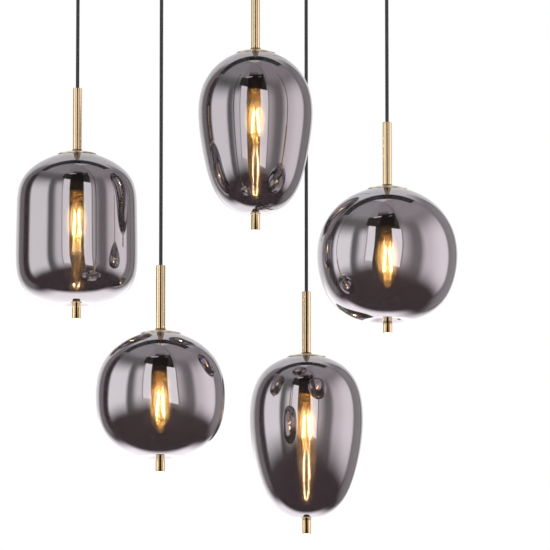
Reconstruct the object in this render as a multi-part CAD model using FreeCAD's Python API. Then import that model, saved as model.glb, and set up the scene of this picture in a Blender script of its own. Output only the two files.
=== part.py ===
import FreeCAD, Part
import math
import os

# Cluster pendant: five glass lamps hung at different heights from one round ceiling canopy.
# Millimetres, +Z up. The origin is on the ceiling plane, at the middle of the ceiling screws.
# -Y is the side the lamp is seen from.

os.makedirs("parts", exist_ok=True)
V = FreeCAD.Vector
ORIGIN, ZAXIS = V(0, 0, 0), V(0, 0, 1)

# ---------------------------------------------------------------- driving dimensions
# canopy
CANOPY_R = 260.0          # outer radius of the pressed cover
CANOPY_H = 38.0           # ceiling to the cover's underside
CANOPY_T = 1.2            # sheet thickness
CANOPY_EDGE_R = 6.0       # outer radius of the pressed edge
COVER_GAP = 0.6           # shadow gap between cover rim and ceiling
BRACKET_T = 2.5
BRACKET_W = 30.0
BRACKET_REACH = 255.5     # outer face of the turned-down ears
BRACKET_HUB_R = 72.0
EAR_DROP = 27.0
CABLE_HOLE_R = 12.0       # supply cable entry in the bracket's hub
SCREW_PCD = 120.0
SCREW_HOLE_R = 3.0
COVER_SCREW_Z = -17.0
COVER_SCREW_R = 1.95
# cord and its grip
CORD_R = 2.5
GLAND_R = 8.0
GLAND_DROP = 12.0         # visible height of the cord grip under the cover
GRIP_HOLE_R = CORD_R + 0.06
BELL_DEPTH, BELL_R, BELL_TOP_R = 4.0, 6.0, 5.2    # flared mouth of the grip, where the cord bends
PIVOT_Z = -(CANOPY_H + GLAND_DROP) + 2.2          # the lamp swings about this point inside the flare
GROMMET_TOP, GROMMET_LEN = 0.3, 4.4
# brass stem tube
TUBE_R, TUBE_BORE_R = 6.5, 5.3
TUBE_TOP = 94.0           # tube top above the shade's pole
TUBE_CORD_HOLE_R = 2.58
TUBE_CAP_T = 4.0
FOOT_R, FOOT_H = 7.6, 1.8
SPIGOT_R, SPIGOT_BORE_R, SPIGOT_END = 4.9, 3.5, -22.0
# shade cap
CAP_R, CAP_T, CAP_RISE = 28.5, 1.2, 1.8
# glass shade
WALL = 2.5
NECK_R = 21.0             # hole in the top of the glass, for holder and bulb
FINIAL_HOLE_R = 2.6
SEAT_R = 8.2              # flat seat for the finial
# finial
FINIAL_R, FINIAL_LEN, FINIAL_CH = 6.5, 24.0, 0.7
STUD_R = 2.0
# lampholder and bulb, measured down from the shade's pole
HOLDER_TOP, HOLDER_END, HOLDER_R = -15.8, -56.0, 10.6
SOCKET_R = 7.15
SCREW_SHELL_R = 6.95
COLLAR_R, COLLAR_TOP, COLLAR_END = 9.8, -56.4, -70.0
BULB_R, BULB_TIP = 17.5, -144.0

# Outer shape of each blown shade: r(u) = H * sqrt(u (1 - u) Q(2u - 1)) with u from the pole down and Q a short
# Chebyshev series, scaled to the largest radius R.
#  name, x, y, z of the pole, height H, largest radius R, series, dimple height, dimple radius
LAMPS = [
    ("upper_egg", 33.0, 30.0, -215.6, 239.8, 82.5, (0.5557, -0.0684, 0.0963, 0.036, -0.0065), 1.5, 19.0),
    ("right_globe", 220.2, -95.0, -437.2, 195.1, 99.3, (1.1462, 0.1393, 0.1192, 0.0486, 0.0028), 10.7, 37.0),
    ("left_barrel", -224.2, 50.0, -360.7, 223.3, 87.6, (0.9638, 0.3214, 0.3347, 0.1638, -0.0118, 0.0441, 0.0011, 0.0032, 0.0059), 4.5, 28.0),
    ("lower_globe", -99.5, -150.0, -651.8, 182.7, 90.4, (1.0794, 0.0975, 0.0681, 0.0351, -0.0342), 8.4, 34.0),
    ("lower_egg", 106.9, 190.0, -636.3, 241.2, 82.5, (0.5906, -0.1658, 0.1502, -0.0083, 0.0131), 3.5, 19.0),
]


# ---------------------------------------------------------------- helpers
def chebyshev(c, t):
    b1 = b2 = 0.0
    for a in reversed(c[1:]):
        b1, b2 = 2 * t * b1 - b2 + a, b1
    return t * b1 - b2 + c[0]


def export(node, shape):
    solids = shape.Solids
    assert solids, node
    for s in solids:
        assert s.isValid() and s.Volume > 0, node
    shape.exportStep("parts/%s.step" % node)
    print("%-28s solids %2d  volume %10.1f mm3" % (node, len(solids), sum(s.Volume for s in solids)))


def line(a, b):
    return Part.LineSegment(V(a[0], 0, a[1]), V(b[0], 0, b[1])).toShape()


def spline(pts):
    c = Part.BSplineCurve()
    c.interpolate([V(r, 0, z) for r, z in pts])
    return c.toShape()


def turn(edges):
    """A full turn about Z of a closed outline of edges in the XZ plane."""
    face = Part.Face(Part.Wire(edges))
    s = face.revolve(ORIGIN, ZAXIS, 360)
    if s.ShapeType != "Solid":
        s = Part.Solid(s.Shells[0]) if s.Shells else s
    if s.Volume < 0:
        s.reverse()
    return s


def turn_poly(pts):
    pts = list(pts)
    return turn([line(pts[i], pts[(i + 1) % len(pts)]) for i in range(len(pts))])


def at(shape, x, y, z=0.0):
    s = shape.copy()
    s.translate(V(x, y, z))
    return s


def hexagon(af, z0, h, hole_r):
    r = af / math.sqrt(3.0)
    pts = [V(r * math.cos(math.radians(60 * i)), r * math.sin(math.radians(60 * i)), z0) for i in range(7)]
    body = Part.Face(Part.makePolygon(pts)).extrude(V(0, 0, h))
    return body.cut(Part.makeCylinder(hole_r, h + 2, V(0, 0, z0 - 1)))


def rod(a, b, r):
    a, b = V(*a), V(*b)
    return Part.makeCylinder(r, (b - a).Length, a, b - a)


# ---------------------------------------------------------------- shade outline
class Shade:
    """Outer and inner outline of one blown shade, from the pole (z = 0) down."""

    def __init__(self, height, radius, series, dimple, dimple_r):
        self.h, self.series = height, series
        self.k = 1.0
        self.k = radius / max(self.base(i / 400.0) for i in range(401))
        self.dimple, self.dimple_r = dimple, dimple_r

    def base(self, u):
        return self.k * self.h * math.sqrt(max(u * (1 - u) * chebyshev(self.series, 2 * u - 1), 0.0))

    def u_at(self, r, bottom=False):
        lo, hi = (0.5, 1.0) if bottom else (0.0, 0.4)
        for _ in range(60):
            m = (lo + hi) / 2
            grows = self.base(m) < r
            if bottom:
                lo, hi = (lo, m) if grows else (m, hi)
            else:
                lo, hi = (m, hi) if grows else (lo, m)
        return (lo + hi) / 2

    def top_z(self, r):
        return -self.h * self.u_at(r)

    def outer(self):
        """Points from the neck hole's edge to the flat seat round the finial hole."""
        u0, u1 = self.u_at(NECK_R), self.u_at(self.dimple_r, True)
        n = 26
        pts = []
        for i in range(n + 1):
            t = i / n
            u = u0 + (u1 - u0) * (0.5 - 0.5 * math.cos(math.pi * t))
            pts.append((self.base(u), -self.h * u))
        # shallow dimple pressed into the bottom: a cubic from the shade's wall to the flat seat
        ra, za = pts[-1]
        rb, zb = SEAT_R, -self.h + self.dimple
        eps = 1e-3
        slope = -self.h * (self.u_at(ra + eps, True) - self.u_at(ra - eps, True)) / (2 * eps)
        for i in range(1, 7):
            t = i / 6.0
            r = ra + (rb - ra) * t
            h00, h10, h01 = 2 * t**3 - 3 * t**2 + 1, t**3 - 2 * t**2 + t, -2 * t**3 + 3 * t**2
            pts.append((r, h00 * za + h10 * slope * (rb - ra) + h01 * zb))
        return pts

    def offset(self, pts, d):
        out = []
        for i, (r, z) in enumerate(pts):
            a = pts[max(i - 1, 0)]
            b = pts[min(i + 1, len(pts) - 1)]
            tr, tz = b[0] - a[0], b[1] - a[1]
            n = math.hypot(tr, tz)
            out.append((r + tz / n * d, z - tr / n * d))
        return out

    def inner_top_z(self, r):
        """Height of the glass's inner face near the neck, at radius r."""
        return self.top_z(r + 1.0) - WALL


def make_shade(s):
    out = s.outer()
    inn = s.offset(out, WALL)
    # the neck's edge is a straight wall, and so is the finial hole's
    inn[0] = (NECK_R, inn[0][1])
    z_in_seat = out[-1][1] + WALL
    inn[-1] = (SEAT_R, z_in_seat)
    edges = [
        spline(out),
        line(out[-1], (FINIAL_HOLE_R, out[-1][1])),
        line((FINIAL_HOLE_R, out[-1][1]), (FINIAL_HOLE_R, z_in_seat)),
        line((FINIAL_HOLE_R, z_in_seat), inn[-1]),
        spline(list(reversed(inn))),
        line(inn[0], out[0]),
    ]
    return turn(edges)


# ---------------------------------------------------------------- lamp pieces, with the shade's pole at z = 0
def arc_z(r, z_top, z_rim, rim_r):
    """Height at radius r of a circular arc that peaks at z_top on the axis and passes z_rim at rim_r."""
    drop = z_top - z_rim
    big = (rim_r**2 + drop**2) / (2 * drop)
    return z_top - big + math.sqrt(big**2 - r**2)


def make_cap(s):
    z_top, z_rim = CAP_RISE, s.top_z(CAP_R) + CAP_T + 0.5
    hole = SPIGOT_R + 0.2
    n = 8
    top = [(hole + (CAP_R - hole) * i / n, arc_z(hole + (CAP_R - hole) * i / n, z_top, z_rim, CAP_R)) for i in range(n + 1)]
    low = [(r, z - CAP_T) for r, z in reversed(top)]
    return turn([spline(top), line(top[-1], low[0]), spline(low), line(low[-1], top[0])])


def make_tube():
    top = TUBE_TOP
    return turn_poly([
        (TUBE_CORD_HOLE_R, top), (TUBE_R - 0.6, top), (TUBE_R, top - 0.6),
        (TUBE_R, CAP_RISE + FOOT_H), (FOOT_R - 0.4, CAP_RISE + FOOT_H), (FOOT_R, CAP_RISE + FOOT_H - 0.4),
        (FOOT_R, CAP_RISE), (SPIGOT_R, CAP_RISE),
        (SPIGOT_R, SPIGOT_END), (SPIGOT_BORE_R, SPIGOT_END), (SPIGOT_BORE_R, CAP_RISE + 6.0),
        (TUBE_BORE_R, CAP_RISE + 8.0), (TUBE_BORE_R, top - TUBE_CAP_T), (TUBE_CORD_HOLE_R, top - TUBE_CAP_T),
    ])


def make_holder():
    """Lampholder: cable chamber above, contact plate, and the screw socket open below."""
    return turn_poly([
        (SPIGOT_R + 0.15, HOLDER_TOP), (HOLDER_R - 2.2, HOLDER_TOP), (HOLDER_R - 0.6, HOLDER_TOP - 2.5),
        (HOLDER_R - 0.6, -36.0), (HOLDER_R, -37.0), (HOLDER_R, HOLDER_END + 0.8), (HOLDER_R - 0.8, HOLDER_END),
        (SOCKET_R, HOLDER_END), (SOCKET_R, -33.0), (1.6, -33.0), (1.6, -30.0),
        (8.2, -30.0), (8.2, -21.5), (SPIGOT_R + 0.15, -21.5),
    ])


def make_bulb_base():
    """Screw shell with its contact tip, and the collar that the bulb's glass is cemented into."""
    return turn_poly([
        (0, -33.6), (2.4, -33.6), (2.8, -34.6), (5.2, -36.2), (SCREW_SHELL_R, -37.6),
        (SCREW_SHELL_R, COLLAR_TOP + 0.4), (SCREW_SHELL_R + 0.4, COLLAR_TOP), (COLLAR_R - 0.6, COLLAR_TOP),
        (COLLAR_R, COLLAR_TOP - 0.8), (COLLAR_R, COLLAR_END), (COLLAR_R - 0.7, COLLAR_END), (COLLAR_R - 0.7, COLLAR_END + 3.0),
        (0, COLLAR_END + 3.0),
    ])


def make_bulb_glass():
    out = [(8.9, COLLAR_END - 0.3), (12.0, -75.4), (15.6, -84.5), (17.2, -92.5), (BULB_R, -100.0),
           (16.7, -110.0), (14.4, -120.5), (11.0, -130.0), (7.2, -137.5), (3.6, -142.3), (1.6, -143.7)]
    out_tip = (0.0, BULB_TIP)
    inn = [(8.1, COLLAR_END - 0.7), (11.2, -75.9), (14.7, -84.9), (16.3, -92.7), (16.6, -100.0),
           (15.8, -109.8), (13.5, -120.0), (10.2, -129.3), (6.5, -136.6), (3.2, -141.2), (1.4, -142.5)]
    inn_tip = (0.0, BULB_TIP + 1.0)
    z_in = COLLAR_END + 2.9    # the glass's straight neck, cemented into the collar
    return turn([
        line((out[0][0], z_in), out[0]), spline(out), line(out[-1], out_tip), line(out_tip, inn_tip), line(inn_tip, inn[-1]),
        spline(list(reversed(inn))), line(inn[0], (inn[0][0], z_in)), line((inn[0][0], z_in), (out[0][0], z_in)),
    ])


def make_filament():
    """Glass stem, four slanted filament rods and the wires that hold them, as separate solids."""
    z0 = COLLAR_END + 2.8
    solids = [turn_poly([(0, z0), (3.4, z0), (2.2, z0 - 5.0), (2.0, -85.7), (0, -85.7)])]
    for i in range(4):
        a = math.radians(45 + 90 * i)
        c, s = math.cos(a), math.sin(a)
        top, low = (3.3 * c, 3.3 * s, -86.6), (7.4 * c, 7.4 * s, -121.0)
        solids.append(rod(top, low, 0.95))
        solids.append(rod((1.0 * c, 1.0 * s, -86.05), (3.3 * c, 3.3 * s, -86.05), 0.3))
    solids.append(Part.makeTorus(7.45, 0.35, V(0, 0, -121.75)))
    return Part.makeCompound(solids)


def make_fixings(s):
    """What clamps the glass: gasket, cross bar and lock nut at the neck, washer and nut inside the bottom."""
    solids = []
    z_rim = s.top_z(CAP_R) + CAP_T + 0.5
    rs = (23.0, 25.5, 28.0)
    up = [(r, arc_z(r, CAP_RISE, z_rim, CAP_R) - CAP_T - 0.05) for r in rs]
    dn = [(r, s.top_z(r) + 0.07) for r in rs]
    solids.append(turn_poly([up[0], up[1], up[2], dn[2], dn[1], dn[0]]))
    bar_z = s.inner_top_z(28.2) - 0.4
    bar = Part.makeBox(54.0, 14.0, 2.5, V(-27.0, -7.0, bar_z - 2.5))
    bar = bar.cut(Part.makeCylinder(SPIGOT_R + 0.2, 6, V(0, 0, bar_z - 4)))
    solids.append(bar)
    solids.append(hexagon(16.0, bar_z - 2.5 - 3.6, 3.6, SPIGOT_R + 0.05))
    seat = -s.h + s.dimple + WALL
    washer = Part.makeCylinder(7.5, 1.0, V(0, 0, seat)).cut(Part.makeCylinder(STUD_R + 0.25, 3, V(0, 0, seat - 1)))
    solids.append(washer)
    solids.append(hexagon(7.0, seat + 1.0, 3.2, STUD_R + 0.05))
    return Part.makeCompound(solids), bar_z - 6.1


def make_finial(s):
    """Brass pin with chamfered ends and a threaded stud that goes up through the glass."""
    z0 = -s.h + s.dimple
    z1 = z0 - FINIAL_LEN
    stud = z0 + WALL + 1.0 + 3.2 + 1.2
    return turn_poly([
        (0, stud), (STUD_R - 0.4, stud), (STUD_R, stud - 0.4), (STUD_R, z0), (FINIAL_R - FINIAL_CH, z0),
        (FINIAL_R, z0 - FINIAL_CH), (FINIAL_R, z1 + FINIAL_CH), (FINIAL_R - FINIAL_CH, z1), (0, z1),
    ])


# ---------------------------------------------------------------- lamps
for name, x, y, pole, height, radius, series, dimple, dimple_r in LAMPS:
    s = Shade(height, radius, series, dimple, dimple_r)
    fixings, fixings_low = make_fixings(s)
    assert fixings_low > HOLDER_TOP, (name, fixings_low)
    export(name + "_cord_grommet", at(turn_poly([
        (CORD_R + 0.25, -GROMMET_TOP), (4.0, -GROMMET_TOP), (4.3, -GROMMET_TOP - 0.3), (4.5, -GROMMET_TOP - 2.2),
        (4.8, -GROMMET_TOP - GROMMET_LEN + 0.4), (4.5, -GROMMET_TOP - GROMMET_LEN), (CORD_R + 1.1, -GROMMET_TOP - GROMMET_LEN),
    ]), x, y, PIVOT_Z))
    cord_end = pole - 26.0
    cord_top = PIVOT_Z + 0.6
    cord = Part.makeCylinder(CORD_R, cord_top - cord_end, V(x, y, cord_end))
    print("%s cord: %.1f mm from the grip, %.1f mm of it in sight" % (name, cord_top - cord_end, -CANOPY_H - GLAND_DROP - pole - TUBE_TOP))
    export(name + "_cord", cord)
    export(name + "_stem_tube", at(make_tube(), x, y, pole))
    export(name + "_shade_cap", at(make_cap(s), x, y, pole))
    export(name + "_shade_fixings", at(fixings, x, y, pole))
    export(name + "_glass_shade", at(make_shade(s), x, y, pole))
    export(name + "_lampholder", at(make_holder(), x, y, pole))
    export(name + "_bulb_base", at(make_bulb_base(), x, y, pole))
    export(name + "_bulb_glass", at(make_bulb_glass(), x, y, pole))
    export(name + "_bulb_filament", at(make_filament(), x, y, pole))
    export(name + "_finial", at(make_finial(s), x, y, pole))
    print("   glass seat %.1f, finial end %.1f, fixings low %.1f" % (pole - height + dimple, pole - height + dimple - FINIAL_LEN, fixings_low))

# ---------------------------------------------------------------- canopy
# cover: a shallow pressed pan, open towards the ceiling
R, T, E = CANOPY_R, CANOPY_T, CANOPY_EDGE_R
zb, zt = -CANOPY_H, -COVER_GAP
k = math.sqrt(0.5)


def arc(a, m, b):
    return Part.Arc(V(a[0], 0, a[1]), V(m[0], 0, m[1]), V(b[0], 0, b[1])).toShape()


outer_c, inner_r = (R - E, zb + E), E - T
pan = turn([
    line((0, zb), (R - E, zb)),
    arc((R - E, zb), (outer_c[0] + E * k, outer_c[1] - E * k), (R, zb + E)),
    line((R, zb + E), (R, zt)),
    line((R, zt), (R - T, zt)),
    line((R - T, zt), (R - T, zb + E)),
    arc((R - T, zb + E), (outer_c[0] + inner_r * k, outer_c[1] - inner_r * k), (R - E, zb + T)),
    line((R - E, zb + T), (0, zb + T)),
    line((0, zb + T), (0, zb)),
])
for _, x, y, *_rest in LAMPS:
    pan = pan.cut(Part.makeCylinder(5.1, 6, V(x, y, zb - 2)))
for i in range(4):
    d = V(math.cos(math.pi / 2 * i), math.sin(math.pi / 2 * i), 0)
    pan = pan.cut(Part.makeCylinder(2.2, 8, d * (R - 5) + V(0, 0, COVER_SCREW_Z), d))
export("canopy_cover", pan)

# bracket: hub disc and four arms with turned-down ears
bracket = Part.makeCylinder(BRACKET_HUB_R, BRACKET_T, V(0, 0, -BRACKET_T))
for i in range(4):
    arm = Part.makeBox(BRACKET_REACH, BRACKET_W, BRACKET_T, V(0, -BRACKET_W / 2, -BRACKET_T))
    ear = Part.makeBox(BRACKET_T, BRACKET_W, EAR_DROP, V(BRACKET_REACH - BRACKET_T, -BRACKET_W / 2, -EAR_DROP))
    ear = ear.cut(Part.makeCylinder(2.0, 8, V(BRACKET_REACH - 5, 0, COVER_SCREW_Z), V(1, 0, 0)))
    for piece in (arm, ear):
        piece.rotate(ORIGIN, ZAXIS, 90 * i)
        bracket = bracket.fuse(piece)
bracket = bracket.cut(Part.makeCylinder(CABLE_HOLE_R, 8, V(0, 0, -5)))
for i in range(4):
    a = math.radians(45 + 90 * i)
    bracket = bracket.cut(Part.makeCylinder(SCREW_HOLE_R, 8, V(SCREW_PCD / 2 * math.cos(a), SCREW_PCD / 2 * math.sin(a), -5)))
export("ceiling_bracket", bracket.removeSplitter())

# four knurled screws that hold the cover to the bracket's ears
screws = []
for i in range(4):
    body = turn_poly([
        (0, 0), (4.4, 0), (5.0, -0.6), (5.0, -4.4), (COVER_SCREW_R, -4.4), (COVER_SCREW_R, -13.0), (0, -13.0),
    ])
    body.rotate(ORIGIN, V(0, 1, 0), 90)
    body.translate(V(CANOPY_R + 4.45, 0, COVER_SCREW_Z))
    body.rotate(ORIGIN, ZAXIS, 90 * i)
    screws.append(body)
export("cover_screws", Part.makeCompound(screws))

# cord grips: a turned body under the cover with a threaded neck through it, and a lock nut inside
grips = []
for _, x, y, *_rest in LAMPS:
    low = zb - GLAND_DROP
    body = turn_poly([
        (GRIP_HOLE_R, zb + 10.0), (4.9, zb + 10.0), (4.9, zb), (GLAND_R, zb), (GLAND_R, low + 3.0),
        (GLAND_R - 0.5, low + 0.6), (GLAND_R - 1.1, low), (BELL_R, low),
        (BELL_TOP_R, low + BELL_DEPTH), (GRIP_HOLE_R, low + BELL_DEPTH),
    ])
    grips.append(at(body, x, y))
    grips.append(at(hexagon(14.0, zb + T + 0.05, 3.6, 4.95), x, y))
export("cord_grips", Part.makeCompound(grips))

# wiring: the terminal block under the hub, and one lead from it to each cord grip
BLOCK_X, BLOCK_Z, BLOCK_L, BLOCK_W, BLOCK_H = -42.0, -BRACKET_T - 0.1, 52.0, 20.0, 17.0
block = Part.makeBox(BLOCK_L, BLOCK_W, BLOCK_H, V(BLOCK_X - BLOCK_L / 2, -BLOCK_W / 2, BLOCK_Z - BLOCK_H))
for i in range(5):
    block = block.cut(Part.makeCylinder(2.0, 5, V(BLOCK_X - 20 + 10 * i, 0, BLOCK_Z - BLOCK_H - 1.0)))
leads = []
LEAD_Z = -13.0
BEND = 10.0
outlets = {
    "upper_egg": (-22.0, 10.0), "right_globe": (-24.0, -10.0), "left_barrel": (-68.0, 3.0),
    "lower_globe": (-50.0, -10.0), "lower_egg": (-40.0, 10.0),
}
for name, x, y, *_rest in LAMPS:
    a = V(outlets[name][0], outlets[name][1], LEAD_Z)
    end = V(x, y, LEAD_Z)
    d = end - a
    d.normalize()
    block = block.cut(Part.makeCylinder(CORD_R + 0.2, 22.0, a - d * 6.2, d))
    a = a - d * 6.0
    b = end - d * BEND
    c = V(x, y, LEAD_Z - BEND)
    mid = b + d * (BEND * math.sin(math.pi / 4)) + V(0, 0, -BEND * (1 - math.cos(math.pi / 4)))
    low = V(x, y, zb - GLAND_DROP + BELL_DEPTH - 0.2)
    path = Part.Wire([Part.LineSegment(a, b).toShape(), Part.Arc(b, mid, c).toShape(), Part.LineSegment(c, low).toShape()])
    section = Part.Wire(Part.Circle(a, d, CORD_R).toShape())
    lead = path.makePipeShell([section], True, False)
    want = math.pi * CORD_R**2 * path.Length
    assert abs(lead.Volume / want - 1) < 0.01, (name, lead.Volume, want)
    leads.append(lead)
export("wiring_harness", Part.makeCompound([block] + leads))
print("nodes", len([f for f in os.listdir("parts") if f.endswith(".step")]))
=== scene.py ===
import bpy
import bmesh
import math
import random
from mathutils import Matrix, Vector


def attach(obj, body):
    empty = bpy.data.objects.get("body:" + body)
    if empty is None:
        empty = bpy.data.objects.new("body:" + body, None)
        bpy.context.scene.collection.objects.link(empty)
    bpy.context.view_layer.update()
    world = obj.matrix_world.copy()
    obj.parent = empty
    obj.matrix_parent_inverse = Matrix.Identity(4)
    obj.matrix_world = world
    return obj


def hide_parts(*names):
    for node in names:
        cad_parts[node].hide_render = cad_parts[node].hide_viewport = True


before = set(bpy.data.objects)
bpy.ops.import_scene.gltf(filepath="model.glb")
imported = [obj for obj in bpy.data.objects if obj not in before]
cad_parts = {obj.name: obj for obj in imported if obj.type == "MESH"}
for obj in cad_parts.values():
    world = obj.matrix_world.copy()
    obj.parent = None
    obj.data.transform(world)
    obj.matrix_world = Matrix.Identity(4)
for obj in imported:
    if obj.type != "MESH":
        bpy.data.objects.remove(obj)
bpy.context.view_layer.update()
scene = bpy.context.scene
MM = 0.001
random.seed(7)

# name, x, y, z of the pole, height, largest radius, outline series, dimple height, dimple radius (millimetres)
LAMPS = [
    ("upper_egg", 33.0, 30.0, -215.6, 239.8, 82.5, (0.5557, -0.0684, 0.0963, 0.036, -0.0065), 1.5, 19.0),
    ("right_globe", 220.2, -95.0, -437.2, 195.1, 99.3, (1.1462, 0.1393, 0.1192, 0.0486, 0.0028), 10.7, 37.0),
    ("left_barrel", -224.2, 50.0, -360.7, 223.3, 87.6, (0.9638, 0.3214, 0.3347, 0.1638, -0.0118, 0.0441, 0.0011, 0.0032, 0.0059), 4.5, 28.0),
    ("lower_globe", -99.5, -150.0, -651.8, 182.7, 90.4, (1.0794, 0.0975, 0.0681, 0.0351, -0.0342), 8.4, 34.0),
    ("lower_egg", 106.9, 190.0, -636.3, 241.2, 82.5, (0.5906, -0.1658, 0.1502, -0.0083, 0.0131), 3.5, 19.0),
]
CORD_R, CORD_TOP = 2.5, -47.2          # the cord's radius, and its upper end at the grip's mouth
WALL, NECK_R, SEAT_R, FINIAL_HOLE_R = 2.5, 21.0, 8.2, 2.6
CAP_R, CAP_T, CAP_RISE = 28.5, 1.2, 1.8

# ---------------------------------------------------------------- camera
cam_data = bpy.data.cameras.new("camera")
cam = bpy.data.objects.new("camera", cam_data)
scene.collection.objects.link(cam)
cam.location = (0.0611, -8.8892, -1.9555)
cam.rotation_euler = (math.radians(99.0), 0.0, 0.0)
cam_data.lens = 412.0
cam_data.sensor_width = 36.0
cam_data.clip_start = 0.5
cam_data.clip_end = 60.0
scene.camera = cam


# ---------------------------------------------------------------- node helpers
class Nodes:
    """Short way to write a node tree."""

    def __init__(self, tree):
        self.t = tree
        tree.nodes.clear()

    def new(self, kind, **props):
        n = self.t.nodes.new(kind)
        for k, v in props.items():
            setattr(n, k, v)
        return n

    def put(self, socket, value):
        if isinstance(value, bpy.types.NodeSocket):
            self.t.links.new(value, socket)
        elif value is not None:
            socket.default_value = value

    def math(self, op, a, b=None, c=None, clamp=False):
        n = self.new("ShaderNodeMath", operation=op, use_clamp=clamp)
        for i, v in enumerate((a, b, c)):
            self.put(n.inputs[i], v)
        return n.outputs[0]

    def vec(self, op, a, b=None):
        n = self.new("ShaderNodeVectorMath", operation=op)
        self.put(n.inputs[0], a)
        self.put(n.inputs[1], b)
        return n.outputs["Value"] if op in ("LENGTH", "DOT_PRODUCT") else n.outputs[0]

    def range(self, v, a, b, c=0.0, d=1.0, kind="SMOOTHSTEP"):
        n = self.new("ShaderNodeMapRange", interpolation_type=kind)
        for i, x in enumerate((v, a, b, c, d)):
            self.put(n.inputs[i], x)
        return n.outputs[0]

    def mix(self, f, a, b, blend="MIX"):
        n = self.new("ShaderNodeMix", data_type="RGBA", blend_type=blend)
        self.put(n.inputs[0], f)
        self.put(n.inputs[6], a if isinstance(a, bpy.types.NodeSocket) else rgba(a))
        self.put(n.inputs[7], b if isinstance(b, bpy.types.NodeSocket) else rgba(b))
        return n.outputs[2]

    def noise(self, vector, scale, detail=2.0, rough=0.5, dist=0.0):
        n = self.new("ShaderNodeTexNoise")
        self.put(n.inputs["Vector"], vector)
        for k, v in (("Scale", scale), ("Detail", detail), ("Roughness", rough), ("Distortion", dist)):
            self.put(n.inputs[k], v)
        return n.outputs[0]

    def scaled(self, vector, s):
        n = self.new("ShaderNodeMapping")
        self.put(n.inputs["Vector"], vector)
        n.inputs["Scale"].default_value = s
        return n.outputs[0]

    def ramp(self, f, stops, kind="LINEAR"):
        n = self.new("ShaderNodeValToRGB")
        n.color_ramp.interpolation = kind
        e = n.color_ramp.elements
        while len(e) < len(stops):
            e.new(0.5)
        for i, (p, c) in enumerate(stops):
            e[i].position = p
            e[i].color = rgba(c)
        self.put(n.inputs[0], f)
        return n.outputs[0]

    def bump(self, height, strength, distance, normal=None):
        n = self.new("ShaderNodeBump")
        self.put(n.inputs["Strength"], strength)
        self.put(n.inputs["Distance"], distance)
        self.put(n.inputs["Height"], height)
        if normal is not None:
            self.put(n.inputs["Normal"], normal)
        return n.outputs[0]


def rgba(c):
    return (c[0], c[1], c[2], 1.0) if not isinstance(c, (int, float)) else (c, c, c, 1.0)


def material(name, **principled):
    """A material with one Principled shader. Keyword names are its sockets, with _ for a space."""
    m = bpy.data.materials.new(name)
    m.use_nodes = True
    n = Nodes(m.node_tree)
    out = n.new("ShaderNodeOutputMaterial")
    b = n.new("ShaderNodeBsdfPrincipled")
    m.node_tree.links.new(b.outputs[0], out.inputs[0])
    for k, v in principled.items():
        s = b.inputs[k.replace("_", " ")]
        s.default_value = rgba(v) if k in ("Base_Color", "Emission_Color") else v
    return m, n, b


def object_xyz(n):
    tc = n.new("ShaderNodeTexCoord")
    sep = n.new("ShaderNodeSeparateXYZ")
    n.put(sep.inputs[0], tc.outputs["Object"])
    return tc.outputs["Object"], sep.outputs[0], sep.outputs[1], sep.outputs[2]


# ---------------------------------------------------------------- mesh helpers
def fillet(pts, radius, closed=True, steps=4):
    """The outline with each corner rounded. A point may carry its own radius as a third number."""
    out = []
    n = len(pts)
    for i, p in enumerate(pts):
        r = p[2] if len(p) > 2 else radius
        if (not closed and i in (0, n - 1)) or r <= 0:
            out.append((p[0], p[1]))
            continue
        a, b = Vector(pts[i - 1][:2]), Vector(pts[(i + 1) % n][:2])
        c = Vector(p[:2])
        da, db = a - c, b - c
        la, lb = da.length, db.length
        if la < 1e-9 or lb < 1e-9:
            continue
        da, db = da / la, db / lb
        cosang = max(-1.0, min(1.0, da.dot(db)))
        ang = math.acos(cosang)
        if ang > math.radians(172):
            out.append((c.x, c.y))
            continue
        cut = min(r / math.tan(ang / 2), 0.45 * la, 0.45 * lb)
        s, e = c + da * cut, c + db * cut
        for k in range(steps + 1):
            t = k / steps
            q = s * (1 - t) ** 2 + c * 2 * t * (1 - t) + e * t * t
            out.append((max(q.x, 0.0), q.y))
    return out


def mark_sharp(me, angle=28.0):
    """Smooth shading with the edges over the given angle kept sharp."""
    bm = bmesh.new()
    bm.from_mesh(me)
    bmesh.ops.recalc_face_normals(bm, faces=bm.faces)
    lim = math.radians(angle)
    for f in bm.faces:
        f.smooth = True
    for e in bm.edges:
        e.smooth = not (len(e.link_faces) != 2 or e.calc_face_angle(0.0) > lim)
    bm.to_mesh(me)
    bm.free()


def lathe(name, outline, segs=64, closed=True, shape=None, sharp=28.0, mm=True):
    """A full turn of an outline of (r, z) points about Z. shape(r, z, angle) may change the radius. Points on the axis become one vertex."""
    k = MM if mm else 1.0
    verts, rings = [], []
    for r, z in outline:
        if r < 1e-6:
            rings.append([len(verts)])
            verts.append((0.0, 0.0, z * k))
            continue
        ring = []
        for j in range(segs):
            a = 2 * math.pi * j / segs
            rr = shape(r, z, a) if shape else r
            ring.append(len(verts))
            verts.append((rr * math.cos(a) * k, rr * math.sin(a) * k, z * k))
        rings.append(ring)
    faces = []
    n = len(rings)
    for i in range(n if closed else n - 1):
        p, q = rings[i], rings[(i + 1) % n]
        if len(p) == 1 and len(q) == 1:
            continue
        for j in range(segs):
            j2 = (j + 1) % segs
            if len(p) == 1:
                faces.append((p[0], q[j2], q[j]))
            elif len(q) == 1:
                faces.append((p[j], p[j2], q[0]))
            else:
                faces.append((p[j], p[j2], q[j2], q[j]))
    me = bpy.data.meshes.new(name)
    me.from_pydata(verts, [], faces)
    me.validate()
    mark_sharp(me, sharp)
    return me


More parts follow.
